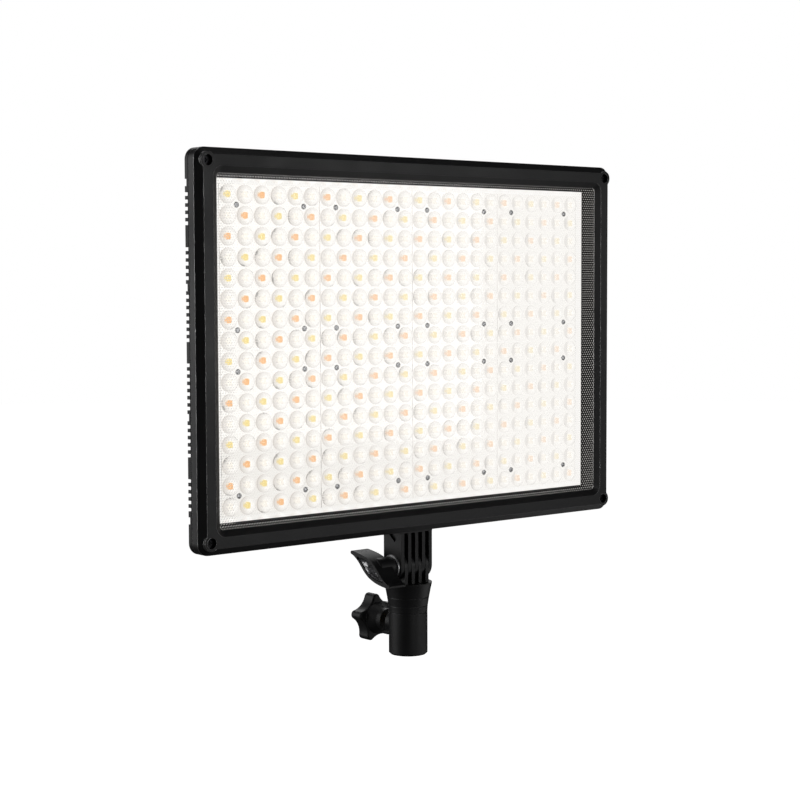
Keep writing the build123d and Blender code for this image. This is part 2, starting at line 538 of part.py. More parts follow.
with BuildPart() as tilt_bracket:
    for number in range(0, FIN_COUNT, 2):
        with BuildSketch(Plane.YZ.offset(fin_start(number))):
            with Locations((0, TILT_Z)):
                Circle(KNUCKLE_RADIUS)
            with Locations((0, (TILT_Z + KNUCKLE_TOP) / 2)):
                Rectangle(2 * KNUCKLE_RADIUS, KNUCKLE_TOP - TILT_Z)
        extrude(amount=FIN_THICK)
    with Locations((0, 0, KNUCKLE_TOP - 0.7)):
        Box(2 * KNUCKLE_HALF, 2 * KNUCKLE_RADIUS, 1.4)
    with Locations((0, 2.9, 83.2)):
        Box(2 * KNUCKLE_HALF - 0.1, 11.4 + 1.8, 8.0)
    with BuildSketch(Plane.YZ.offset(-KNUCKLE_HALF + MARK_DEPTH)):
        with BuildLine():
            Polyline((5.2, 78.2), (-2.0, 72.0), (-7.3, 78.2), close=True)
        make_face()
    extrude(amount=-MARK_DEPTH - 1, mode=Mode.SUBTRACT)
    with Locations(Location((0, 0, TILT_Z), (0, 90, 0))):
        Cylinder(M6_RADIUS + RUNNING, 30, mode=Mode.SUBTRACT)
    with Locations((-7, 3, 83.6), (7, 3, 83.6)):
        Cylinder(1.75, 9, mode=Mode.SUBTRACT)
tilt_bracket.part.label = "tilt_bracket"
export_step(tilt_bracket.part, "parts/tilt_bracket.step")

with BuildPart() as bracket_screws:
    with Locations((-7, 3, 91.3), (7, 3, 91.3)):
        Cylinder(3.6, 3.2)
    with Locations((-7, 3, 85.0), (7, 3, 85.0)):
        Cylinder(1.7, 10.2)
    with BuildSketch(Plane.XY.offset(91.4)):
        with Locations((-7, 3), (7, 3)):
            RegularPolygon(1.6, 6)
    extrude(amount=1.5, mode=Mode.SUBTRACT)
bracket_screws.part.label = "bracket_screws"
export_step(bracket_screws.part, "parts/bracket_screws.step")

# ---------------------------------------------------------------- tilt bolt, washer and clamp lever
WASHER_X = -KNUCKLE_HALF
BLADE_INNER_X, BLADE_OUTER_X = -18.0, -31.0
LEVER_EDGE = [(18.0, 9.9), (10.5, 8.9), (3.5, 7.2), (-4.3, 3.1), (-11.0, -3.3), (-18.0, -7.7)]
LEVER_TIP = (-19.1, -8.8)
HUB_RADIUS, HUB_X = 6.4, -26.5


def along_x(radius, start, end, mode=Mode.ADD):
    """Adds a cylinder on the tilt axis between two values of X to the part being built."""
    with BuildSketch(Plane.YZ.offset(start)) as outline:
        with Locations((0, TILT_Z)):
            Circle(radius)
    extrude(outline.sketch, amount=end - start, mode=mode)


def lever_outline(scale=1.0):
    """The lever's curved leaf: one long edge, the same edge turned half round, and two tip arcs."""
    edge = [(y * scale, z * scale) for y, z in LEVER_EDGE]
    back = [(-y, -z) for y, z in edge]
    tip = (LEVER_TIP[0] * scale, LEVER_TIP[1] * scale)
    with BuildSketch() as leaf:
        with BuildLine():
            Spline(*edge)
            ThreePointArc(edge[-1], tip, back[0])
            Spline(*back)
            ThreePointArc(back[-1], (-tip[0], -tip[1]), edge[0])
        make_face()
    return leaf.sketch


def leaf_block(outline, start, end, mode=Mode.ADD):
    """Adds the leaf outline, centred on the tilt axis, between two values of X."""
    plane = Plane(origin=(start, 0, TILT_Z), x_dir=(0, 1, 0), z_dir=(1, 0, 0))
    extrude(plane * outline, amount=end - start, mode=mode)


with BuildPart() as tilt_bolt:
    along_x(M6_RADIUS, -26.0, KNUCKLE_HALF - 0.35)
tilt_bolt.part.label = "tilt_bolt"
export_step(tilt_bolt.part, "parts/tilt_bolt.step")

with BuildPart() as lever_washer:
    along_x(7.6, WASHER_X - 1.2, WASHER_X - 0.05)
    along_x(M6_RADIUS + RUNNING, WASHER_X - 1.2, WASHER_X, Mode.SUBTRACT)
lever_washer.part.label = "lever_washer"
export_step(lever_washer.part, "parts/lever_washer.step")

POCKET_SCALE, POCKET_DEPTH, BADGE_SCALE = 0.68, 1.2, 0.6
with BuildPart() as clamp_lever:
    leaf_block(lever_outline(), BLADE_INNER_X, BLADE_OUTER_X)
    with BuildSketch(Plane.YZ.offset(HUB_X + 1)):
        with Locations((0, TILT_Z)):
            Circle(HUB_RADIUS)
    extrude(amount=-1, taper=35)
    along_x(HUB_RADIUS, HUB_X + 1, WASHER_X - 1.3)
    leaf_block(lever_outline(POCKET_SCALE), BLADE_OUTER_X, BLADE_OUTER_X + POCKET_DEPTH, Mode.SUBTRACT)
    along_x(M6_RADIUS + RUNNING, -26.3, WASHER_X - 1.3, Mode.SUBTRACT)
clamp_lever.part.label = "clamp_lever"
export_step(clamp_lever.part, "parts/clamp_lever.step")

with BuildPart() as lever_badge:
    leaf_block(lever_outline(BADGE_SCALE), BLADE_OUTER_X + POCKET_DEPTH - 0.03, BLADE_OUTER_X + 0.5)
lever_badge.part.label = "lever_badge"
export_step(lever_badge.part, "parts/lever_badge.step")

# ---------------------------------------------------------------- stand adapter: socket and lower fins
BOSS_RADIUS, BOSS_END = 6.6, 15.2
GROOVES = ((36.4, 13.35), (31.1, 12.65), (26.9, SOCKET_RADIUS))

with BuildPart() as stand_adapter:
    with BuildSketch(Plane.XZ):
        with BuildLine():
            base = Line((0, 0), (SOCKET_RADIUS - 1.0, 0))
            rim = Line(base @ 1, (SOCKET_RADIUS, 1.0))
            side = Line(rim @ 1, (SOCKET_RADIUS, 26.9))
            flare = Spline(side @ 1, (13.3, 36.0), (15.0, 44.5), tangents=((0, 1), (0.25, 1)))
            lip = Line(flare @ 1, (15.2, SOCKET_TOP))
            top = Line(lip @ 1, (0, SOCKET_TOP))
            Line(top @ 1, base @ 0)
        make_face()
    revolve(axis=Axis.Z)
    for number in range(1, FIN_COUNT, 2):
        with BuildSketch(Plane.YZ.offset(fin_start(number))):
            with Locations((0, TILT_Z)):
                Circle(KNUCKLE_RADIUS)
            with Locations((0, (TILT_Z + SOCKET_TOP - 1) / 2)):
                Rectangle(2 * KNUCKLE_RADIUS, TILT_Z - SOCKET_TOP + 1)
        extrude(amount=FIN_THICK)
    with BuildSketch(Plane.XZ.offset(-5.0)):
        with Locations((0, KNOB_Z)):
            Circle(BOSS_RADIUS)
    extrude(amount=5.0 - BOSS_END)
    with BuildSketch(Plane.XY):
        Circle(STUD_BORE_RADIUS)
    extrude(amount=BORE_DEPTH, mode=Mode.SUBTRACT)
    with BuildSketch(Plane.XZ.offset(-6.0)):
        with Locations((0, KNOB_Z)):
            Circle(M6_RADIUS + RUNNING)
    extrude(amount=6.0 - BOSS_END - 1, mode=Mode.SUBTRACT)
    with BuildSketch(Plane.XZ.offset(-10.2)):
        with Locations((0, KNOB_Z)):
            Circle(4.6)
    extrude(amount=10.2 - BOSS_END - 1, mode=Mode.SUBTRACT)
    for height, radius in GROOVES:
        with BuildSketch(Plane.XZ):
            with Locations((radius + 0.3, height)):
                Rectangle(1.4, 0.6)
        revolve(axis=Axis.Z, mode=Mode.SUBTRACT)
    with Locations(Location((0, 0, TILT_Z), (0, 90, 0))):
        Cylinder(M6_RADIUS + RUNNING, 30, mode=Mode.SUBTRACT)
stand_adapter.part.label = "stand_adapter"
export_step(stand_adapter.part, "parts/stand_adapter.step")

# ---------------------------------------------------------------- lock screw, its insert, pad and star knob
def along_y(radius, start, end, mode=Mode.ADD):
    """Adds a cylinder on the lock screw's axis between two values of Y to the part being built."""
    with BuildSketch(Plane.XZ.offset(-start)) as outline:
        with Locations((0, KNOB_Z)):
            Circle(radius)
    extrude(outline.sketch, amount=start - end, mode=mode)


with BuildPart() as thread_insert:
    along_y(4.55, 10.25, BOSS_END - 0.1)
    along_y(M6_RADIUS + RUNNING, 10.0, BOSS_END, Mode.SUBTRACT)
thread_insert.part.label = "thread_insert"
export_step(thread_insert.part, "parts/thread_insert.step")

PAD_START, PAD_END = 8.25, 9.7
with BuildPart() as lock_pad:
    along_y(2.8, PAD_START, PAD_END)
lock_pad.part.label = "lock_pad"
export_step(lock_pad.part, "parts/lock_pad.step")

HUB_START, STAR_START, STAR_END = 19.7, 29.4, 39.3
with BuildPart() as lock_screw:
    along_y(M6_RADIUS, PAD_END + 0.05, STAR_START + 5)
lock_screw.part.label = "lock_screw"
export_step(lock_screw.part, "parts/lock_screw.step")

LOBE_TURN = 97.0
with BuildPart() as lock_knob:
    with BuildSketch(Plane.XZ.offset(-STAR_END)) as star:
        with Locations((0, KNOB_Z)):
            Circle(KNOB_RADIUS)
            with PolarLocations(KNOB_RADIUS + 7.0, 5, start_angle=LOBE_TURN + 36):
                Circle(11.5, mode=Mode.SUBTRACT)
        fillet(star.vertices(), 2.6)
    extrude(amount=STAR_END - STAR_START)
    fillet(lock_knob.faces().filter_by(Axis.Y).edges(), 1.2)
    along_y(7.2, HUB_START, STAR_START + 1)
    with BuildSketch(Plane.XZ.offset(-STAR_START)):
        with Locations((0, KNOB_Z)):
            Circle(10.4)
    extrude(amount=6.0, taper=28)
    along_y(M6_RADIUS + 0.02, HUB_START - 1, STAR_START + 5.05, Mode.SUBTRACT)
lock_knob.part.label = "lock_knob"
export_step(lock_knob.part, "parts/lock_knob.step")
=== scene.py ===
"""Looks of the LED panel light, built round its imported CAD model. Metres, in the CAD model's own frame."""

import math

import bmesh
import bpy
from mathutils import Matrix, Vector


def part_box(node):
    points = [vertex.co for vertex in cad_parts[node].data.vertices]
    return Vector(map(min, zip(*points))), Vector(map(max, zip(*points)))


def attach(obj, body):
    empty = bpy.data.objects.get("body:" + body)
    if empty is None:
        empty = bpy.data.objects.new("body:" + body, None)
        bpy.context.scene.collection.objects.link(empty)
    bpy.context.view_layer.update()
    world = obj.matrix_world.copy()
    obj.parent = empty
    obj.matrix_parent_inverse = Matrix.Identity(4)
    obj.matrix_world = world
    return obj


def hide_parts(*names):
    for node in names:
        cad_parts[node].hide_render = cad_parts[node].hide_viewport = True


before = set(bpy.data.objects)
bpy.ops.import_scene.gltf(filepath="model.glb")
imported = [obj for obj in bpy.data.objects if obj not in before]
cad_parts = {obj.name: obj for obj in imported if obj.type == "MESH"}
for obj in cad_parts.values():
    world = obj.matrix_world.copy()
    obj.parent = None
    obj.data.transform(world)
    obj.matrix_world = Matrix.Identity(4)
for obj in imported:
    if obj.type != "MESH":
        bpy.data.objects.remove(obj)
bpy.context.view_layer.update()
MM = 0.001
PANEL_CENTRE = (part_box("led_board")[0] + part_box("led_board")[1]) / 2

# The lenses' pitch both ways, as in the CAD model
LENS_PITCH = 12 * MM

# The light guide's printed dots: pitch along a row, height of a row, and radius of a dot
DOT_PITCH = 1.85 * MM
DOT_ROW = 1.5 * MM
DOT_RADIUS = 0.33 * MM

# Distances from the panel's centre between which the dots come up from DOT_FAINT to full strength
DOT_SIDES = (139 * MM, 142 * MM)
DOT_ENDS = (98.2 * MM, 99.2 * MM)
DOT_FAINT = 0.12
DOT_GLOW = 0.68
PLATE_SHINE = 0.012

# The lamp's glare grows between these two x. It is at most this strong over the lenses, board and chips.
GLARE_START = -120 * MM
GLARE_END = 110 * MM
LENS_GLARE = 0.75
BOARD_GLARE = 0.8
CHIP_GLARE = 0.72

# Cosine between the true and the rounded normal where the edge mask starts, and where it is full. It carries
# wear, and in coated finishes a painted highlight too
EDGE_SHARE_START = 0.995
EDGE_SHARE_FULL = 0.93

# Radius over which a chip's phosphor gives way to its package
PHOSPHOR_EDGE = (1.55 * MM, 1.72 * MM)

# Share of the next finer octave in every noise
NOISE_ROUGHNESS = 0.55

# In radians
FULL_CIRCLE = 6.283

# Sides of a round piece
ROUND_STEPS = 28


# ---------------------------------------------------------------- shader building
class Shader:
    """A material with short calls for the nodes that it needs."""

    def __init__(self, name, colour=(0.8, 0.8, 0.8), roughness=0.5, metallic=0.0):
        self.material = bpy.data.materials.new(name)
        self.material.use_nodes = True
        self.tree = self.material.node_tree
        self.bsdf = self.tree.nodes["Principled BSDF"]
        self.bsdf.inputs["Base Color"].default_value = (*colour, 1)
        self.bsdf.inputs["Roughness"].default_value = roughness
        self.bsdf.inputs["Metallic"].default_value = metallic
        coordinates = self.node("ShaderNodeTexCoord")
        self.place = coordinates.outputs["Object"]
        self.facing = coordinates.outputs["Normal"]

    def node(self, kind, **settings):
        made = self.tree.nodes.new(kind)
        for name, value in settings.items():
            setattr(made, name, value)
        return made

    def put(self, socket, value):
        """Links value to the socket if it is an output, and else sets it."""
        if isinstance(value, bpy.types.NodeSocket):
            self.tree.links.new(value, socket)
        else:
            socket.default_value = value

    def maths(self, operation, *values):
        made = self.node("ShaderNodeMath", operation=operation)
        for socket, value in zip(made.inputs, values):
            self.put(socket, value)
        return made.outputs[0]

    def noise(self, size, detail=3.0, stretch=(1, 1, 1)):
        """Noise whose features are about size metres across, from 0 to 1."""
        scaled = self.node("ShaderNodeMapping")
        self.put(scaled.inputs["Vector"], self.place)
        scaled.inputs["Scale"].default_value = stretch
        made = self.node("ShaderNodeTexNoise")
        self.put(made.inputs["Vector"], scaled.outputs[0])
        made.inputs["Scale"].default_value = 1 / size
        made.inputs["Detail"].default_value = detail
        made.inputs["Roughness"].default_value = NOISE_ROUGHNESS
        return made.outputs["Fac"]

    def between(self, value, from_low, from_high, to_low, to_high):
        """The value carried from one range to another, clamped."""
        made = self.node("ShaderNodeMapRange")
        for socket, number in zip(made.inputs, (value, from_low, from_high, to_low, to_high)):
            self.put(socket, number)
        return made.outputs["Result"]

    def mixed(self, share, first, second):
        """A colour between two."""
        made = self.node("ShaderNodeMix", data_type="RGBA")
        self.put(made.inputs["Factor"], share)
        colours = [s for s in made.inputs if s.type == "RGBA"]
        for socket, value in zip(colours, (first, second)):
            self.put(socket, value if isinstance(value, bpy.types.NodeSocket) else (*value, 1))
        return [s for s in made.outputs if s.type == "RGBA"][0]

    def split(self, vector):
        """The three parts of a vector."""
        made = self.node("ShaderNodeSeparateXYZ")
        self.put(made.inputs[0], vector)
        return made.outputs

    def edges(self, radius):
        """The edge mask, from 0 on a flat to 1 on an edge of about that radius, and the rounded normal. It
        carries wear, and in coated a painted highlight too.
        """
        rounded = self.node("ShaderNodeBevel", samples=4)
        rounded.inputs["Radius"].default_value = radius
        flat = self.node("ShaderNodeNewGeometry")
        dot = self.node("ShaderNodeVectorMath", operation="DOT_PRODUCT")
        self.put(dot.inputs[0], rounded.outputs[0])
        self.put(dot.inputs[1], flat.outputs["Normal"])
        edge_share = self.between(dot.outputs["Value"], EDGE_SHARE_START, EDGE_SHARE_FULL, 0.0, 1.0)
        return edge_share, rounded.outputs[0]

    def bump(self, height, distance, strength, normal=None):
        """The normal of a surface that rises by distance where height goes from 0 to 1."""
        made = self.node("ShaderNodeBump")
        made.inputs["Distance"].default_value = distance
        made.inputs["Strength"].default_value = strength
        self.put(made.inputs["Height"], height)
        if normal is not None:
            self.put(made.inputs["Normal"], normal)
        return made.outputs["Normal"]


def coated(name, colour, roughness, grain, depth, edge, edge_colour, upright=False, shine=0.5):
    """Paint or moulded plastic: fine grain, cloudy roughness and edges that catch the light.

    grain is the size of the grain and depth its height. edge is the radius of the edges in edge_colour,
    whose colour is wear and a painted highlight, and shine is the specular level. upright keeps that colour
    to edges that run up and down, where the side light falls, so there it is a painted highlight as well as
    wear.
    """
    s = Shader(name, colour, roughness)
    s.bsdf.inputs["Specular IOR Level"].default_value = shine
    fine = s.noise(grain, 2.0)
    cloudy = s.noise(35 * MM, 4.0)
    edge_share, rounded = s.edges(edge)
    patch = s.between(s.noise(3 * MM, 5.0), 0.3, 0.6, 0.45, 1.0)
    # Upright edges are where the side light falls: the bright edge colour there is a painted highlight as
    # well as wear.
    if upright:
        sides = s.split(rounded)[0]
        side_lit_edges = s.between(s.maths("ABSOLUTE", sides), 0.08, 0.3, 0.12, 1.0)
        patch = s.maths("MULTIPLY", patch, side_lit_edges)
    shade = tuple(min(1.0, c * 1.5 + 0.002) for c in colour)
    dusty = s.mixed(s.between(cloudy, 0.35, 0.7, 0.0, 0.55), colour, shade)
    speckled = s.mixed(s.between(fine, 0.45, 0.8, 0.0, 0.5), dusty, tuple(c * 0.55 for c in colour))
    # Edges in edge_colour and metal: wear, and a painted highlight where edge_colour is bright.
    wear_and_painted_highlight = s.maths("MULTIPLY", edge_share, patch)
    s.put(s.bsdf.inputs["Base Color"], s.mixed(wear_and_painted_highlight, speckled, edge_colour))
    s.put(s.bsdf.inputs["Metallic"], wear_and_painted_highlight)
    rough = s.maths("ADD", s.between(cloudy, 0.3, 0.7, roughness - 0.05, roughness + 0.06),
                    s.between(fine, 0.3, 0.7, -0.04, 0.04))
    rough = s.maths("SUBTRACT", rough, s.maths("MULTIPLY", wear_and_painted_highlight, 0.18))
    s.put(s.bsdf.inputs["Roughness"], rough)
    s.put(s.bsdf.inputs["Normal"], s.bump(fine, depth, 0.6, rounded))
    return s.material


def brushed(name, colour, roughness, stretch):
    """Bare or plated metal with fine drawn lines, faint stains and bright edges.

    stretch packs the noise along each axis, so that the lines run across the axis with the largest number.
    """
    s = Shader(name, colour, roughness, 1.0)
    lines = s.noise(0.5 * MM, 2.0, stretch)
    stains = s.noise(9 * MM, 5.0)
    edge_share, rounded = s.edges(0.15 * MM)
    dull = s.mixed(s.between(stains, 0.4, 0.75, 0.0, 0.5), colour, tuple(c * 0.72 for c in colour))
    s.put(s.bsdf.inputs["Base Color"], s.mixed(edge_share, dull, tuple(min(1.0, c * 1.3) for c in colour)))
    s.put(s.bsdf.inputs["Roughness"], s.between(lines, 0.25, 0.75, roughness - 0.08, roughness + 0.1))
    s.put(s.bsdf.inputs["Normal"], s.bump(lines, 0.02 * MM, 0.35, rounded))
    return s.material


def crumpled_foil(name):
    """Foil that is pressed a little uneven. Its colour is part dark and part bright along the folds, a
    painted reflection, so that its reflections break up.
    """
    s = Shader(name, metallic=1.0)
    folds = s.noise(4.5 * MM, 4.0, (1, 0.5, 1.3))
    # Painted reflection: near-black and bright base colour that follow the folds, standing in for dark
    # surroundings and a bright streak.
    painted_reflection_patches = s.between(folds, 0.52, 0.62, 0.0, 1.0)
    s.put(s.bsdf.inputs["Base Color"], s.mixed(painted_reflection_patches, (0.03, 0.03, 0.032), (0.5, 0.5, 0.51)))
    s.put(s.bsdf.inputs["Roughness"], s.between(s.noise(1.0 * MM), 0.3, 0.7, 0.16, 0.34))
    s.put(s.bsdf.inputs["Normal"], s.bump(folds, 0.5 * MM, 0.8))
    return s.material


def cell(s, coordinate, pitch, shift=0.0):
    """Signed distance from the middle of the lattice cell, in metres, along one axis."""
    steps = s.maths("ADD", s.maths("DIVIDE", coordinate, pitch), shift)
    return s.maths("MULTIPLY", s.maths("SUBTRACT", s.maths("FRACT", steps), 0.5), pitch)


def panel_plane(s):
    """x across the panel, and height from its centre."""
    x, _, z = s.split(s.place)
    return x, s.maths("SUBTRACT", z, PANEL_CENTRE.z)


def from_centre(s, x, z):
    """Distance from the middle of the lattice cell."""
    return s.maths("SQRT", s.maths("ADD", s.maths("MULTIPLY", x, x), s.maths("MULTIPLY", z, z)))


def haze(s, x, most):
    """How far the lamp's own glare washes out what is behind the plate: none at the left, most at the
    right."""
    return s.between(x, GLARE_START, GLARE_END, 0.0, most)


def lit(s, colour, strength=1.0):
    """The surface gives off its own light, as the lamp is on."""
    s.put(s.bsdf.inputs["Emission Color"], colour)
    s.bsdf.inputs["Emission Strength"].default_value = strength


def light_guide(name):
    """Clear plate with a lattice of small printed dots that glow. The array's glare all but hides those in
    front of it."""
    s = Shader(name)
    x, z = panel_plane(s)
    row = s.maths("FLOOR", s.maths("DIVIDE", z, DOT_ROW))
    odd = s.maths("MULTIPLY", s.maths("MODULO", s.maths("ABSOLUTE", row), 2.0), 0.5)
    across = cell(s, x, DOT_PITCH, odd)
    up = cell(s, z, DOT_ROW)
    spot = s.between(from_centre(s, across, up), DOT_RADIUS * 1.15, DOT_RADIUS * 0.45, 0.0, 1.0)
    uneven = s.between(s.noise(2.2 * MM, 2.0), 0.3, 0.7, 0.55, 1.0)
    by_side = s.between(s.maths("ABSOLUTE", x), *DOT_SIDES, DOT_FAINT, 1.0)
    by_end = s.between(s.maths("ABSOLUTE", z), *DOT_ENDS, DOT_FAINT, 1.0)
    dot = s.maths("MULTIPLY", s.maths("MULTIPLY", spot, uneven), s.maths("MAXIMUM", by_side, by_end))
    clear = s.node("ShaderNodeBsdfTransparent")
    gloss = s.node("ShaderNodeBsdfGlossy")
    gloss.inputs["Roughness"].default_value = 0.12
    sheen = s.node("ShaderNodeMixShader")
    sheen.inputs[0].default_value = PLATE_SHINE
    s.put(sheen.inputs[1], clear.outputs[0])
    s.put(sheen.inputs[2], gloss.outputs[0])
    glow = s.node("ShaderNodeEmission")
    glow.inputs["Color"].default_value = (1.0, 0.97, 0.93, 1)
    glow.inputs["Strength"].default_value = DOT_GLOW
    both = s.node("ShaderNodeMixShader")
    s.put(both.inputs[0], dot)
    s.put(both.inputs[1], sheen.outputs[0])
    s.put(both.inputs[2], glow.outputs[0])
    s.put(s.tree.nodes["Material Output"].inputs["Surface"], both.outputs[0])
    s.tree.nodes.remove(s.bsdf)
    return s.material


def lens_acrylic(name):
    """Clear moulded domes. Their steep sides look pale and clouded from a painted glow with painted shade,
    lighter where they face right and darker where they face left or down, and some show a fine net, a
    painted reflection of the dots, in a crescent.
    """
    s = Shader(name, (1.0, 0.995, 0.985))
    s.bsdf.inputs["Transmission Weight"].default_value = 1.0
    s.bsdf.inputs["IOR"].default_value = 1.46
    s.put(s.bsdf.inputs["Roughness"], s.between(s.noise(6 * MM, 3.0), 0.3, 0.7, 0.0, 0.06))
    s.put(s.bsdf.inputs["Normal"], s.bump(s.noise(2.5 * MM, 2.0), 0.03 * MM, 0.25))

    side, front, up = s.split(s.facing)
    slope = s.maths("MULTIPLY", front, -1.0)
    x, z = panel_plane(s)
    spot = s.node("ShaderNodeCombineXYZ")
    s.put(spot.inputs[0], s.maths("FLOOR", s.maths("DIVIDE", x, LENS_PITCH)))
    s.put(spot.inputs[1], s.maths("FLOOR", s.maths("DIVIDE", z, LENS_PITCH)))
    white_noise = s.node("ShaderNodeTexWhiteNoise", noise_dimensions="2D")
    s.put(white_noise.inputs["Vector"], spot.outputs[0])
    chance = white_noise.outputs["Value"]
    turn = s.maths("MULTIPLY", chance, FULL_CIRCLE)
    along = s.maths("ADD", s.maths("MULTIPLY", side, s.maths("COSINE", turn)),
                    s.maths("MULTIPLY", up, s.maths("SINE", turn)))
    # A painted reflection of the dots: a dark net in a crescent near one side of some lenses, fading under
    # the painted glare.
    gap = from_centre(s, cell(s, x, DOT_PITCH), cell(s, z, DOT_ROW))
    net = s.between(gap, 0.3 * MM, 0.5 * MM, 0.0, 1.0)
    second_chance = s.maths("FRACT", s.maths("MULTIPLY", chance, 7.0))
    picked = s.between(second_chance, 0.42, 0.45, 0.0, 1.0)
    washed = s.maths("SUBTRACT", 1.0, haze(s, x, LENS_GLARE))
    arc = s.between(along, 0.62, 0.74, 0.0, 1.0)
    crescent = s.maths("MULTIPLY", arc, s.maths("MULTIPLY", picked, washed))
    painted_dot_reflection = s.maths("MULTIPLY", crescent, net)

    # Painted glow and shade on the steep sides: lighter where they face right, darker where they face left
    # or down, near white under the glare, with the painted dot reflection in dark grey.
    painted_rim_light = s.mixed(s.between(side, -0.45, 0.5, 0.0, 1.0), (0.64, 0.60, 0.56), (0.80, 0.77, 0.74))
    painted_rim_light = s.mixed(s.between(up, -0.35, -0.75, 0.0, 0.7), painted_rim_light, (0.60, 0.57, 0.54))
    painted_rim_light = s.mixed(haze(s, x, LENS_GLARE), painted_rim_light, (0.96, 0.94, 0.91))
    painted_rim_light = s.mixed(s.maths("MULTIPLY", painted_dot_reflection, 0.75), painted_rim_light, (0.16, 0.16, 0.155))
    painted_rim_glow = s.node("ShaderNodeEmission")
    s.put(painted_rim_glow.inputs["Color"], painted_rim_light)
    steep = s.between(slope, 0.45, 0.93, 0.92, 0.0)
    share = s.maths("MAXIMUM", steep, s.maths("MULTIPLY", painted_dot_reflection, 0.9))
    not_flat = s.between(slope, 0.975, 0.995, 1.0, 0.0)
    both = s.node("ShaderNodeMixShader")
    s.put(both.inputs[0], s.maths("MULTIPLY", share, not_flat))
    s.put(both.inputs[1], s.bsdf.outputs[0])
    s.put(both.inputs[2], painted_rim_glow.outputs[0])
    s.put(s.tree.nodes["Material Output"].inputs["Surface"], both.outputs[0])
    return s.material


def white_mask(name):
    """White board round the chips, bright from their light, which is a painted glow, with a painted pool of
    light under each lens and painted shade to one side of each chip.
    """
    s = Shader(name, (0.04, 0.04, 0.04))
    x, z = panel_plane(s)
    across = cell(s, x, LENS_PITCH)
    near = from_centre(s, across, cell(s, z, LENS_PITCH))
    # A painted pool of light under each lens, and painted shade on its left side.
    inside = s.between(near, 5.0 * MM, 5.8 * MM, 1.0, 0.0)
    dim = s.between(across, -3.5 * MM, 1.0 * MM, 1.0, 0.0)
    cloudy = s.between(s.noise(20 * MM, 3.0), 0.3, 0.7, 0.0, 1.0)
    tone = s.mixed(cloudy, (0.92, 0.905, 0.875), (0.87, 0.855, 0.82))
    tone = s.mixed(inside, tone, (1.0, 0.985, 0.95))
    shaded = s.maths("MULTIPLY", s.maths("MULTIPLY", inside, dim), 0.9)
    tone = s.mixed(shaded, tone, (0.80, 0.76, 0.71))
    tone = s.mixed(haze(s, x, BOARD_GLARE), tone, (0.97, 0.955, 0.93))
    # Painted glow: the board gives off the chips' light that falls on it.
    lit(s, tone)
    s.put(s.bsdf.inputs["Normal"], s.bump(s.noise(0.6 * MM), 0.02 * MM, 0.3))
    return s.material


def chip(name, phosphor, rim):
    """A light-emitting chip: a round phosphor in a pale package, whose colour is rim."""
    s = Shader(name, roughness=0.3)
    x, z = panel_plane(s)
    near = from_centre(s, cell(s, x, LENS_PITCH), cell(s, z, LENS_PITCH))
    grains = s.between(s.noise(0.25 * MM, 2.0), 0.3, 0.7, 0.0, 0.35)
    glow = s.mixed(grains, phosphor, tuple(min(1.0, c * 1.15 + 0.03) for c in phosphor))
    face = s.mixed(s.between(near, *PHOSPHOR_EDGE, 0.0, 1.0), glow, rim)
    face = s.mixed(haze(s, x, CHIP_GLARE), face, (0.93, 0.89, 0.83))
    s.put(s.bsdf.inputs["Base Color"], s.mixed(grains, (0.01, 0.01, 0.01), (0.02, 0.02, 0.02)))
    lit(s, face)
    s.put(s.bsdf.inputs["Normal"], s.bump(s.noise(0.2 * MM), 0.02 * MM, 0.4))
    return s.material


def smoked_glass(name):
    """Dark display window that shows the marks behind it."""
    s = Shader(name, (0.02, 0.02, 0.025))
    smudges = s.noise(7 * MM, 4.0)
    s.put(s.bsdf.inputs["Roughness"], s.between(smudges, 0.35, 0.7, 0.03, 0.16))
    clear = s.node("ShaderNodeBsdfTransparent")
    clear.inputs["Color"].default_value = (0.75, 0.78, 0.8, 1)
    both = s.node("ShaderNodeMixShader")
    both.inputs[0].default_value = 0.45
    s.put(both.inputs[1], clear.outputs[0])
    s.put(both.inputs[2], s.bsdf.outputs[0])
    s.put(s.tree.nodes["Material Output"].inputs["Surface"], both.outputs[0])
    return s.material


def glowing_segment():
    """The lit marks of the display."""
    s = Shader("display_marks", (0.5, 0.75, 0.85), 0.4)
    uneven = s.between(s.noise(1.5 * MM), 0.3, 0.7, 0.0, 0.4)
    lit(s, s.mixed(uneven, (0.62, 0.88, 1.0), (0.45, 0.7, 0.9)), 1.4)
    return s.material


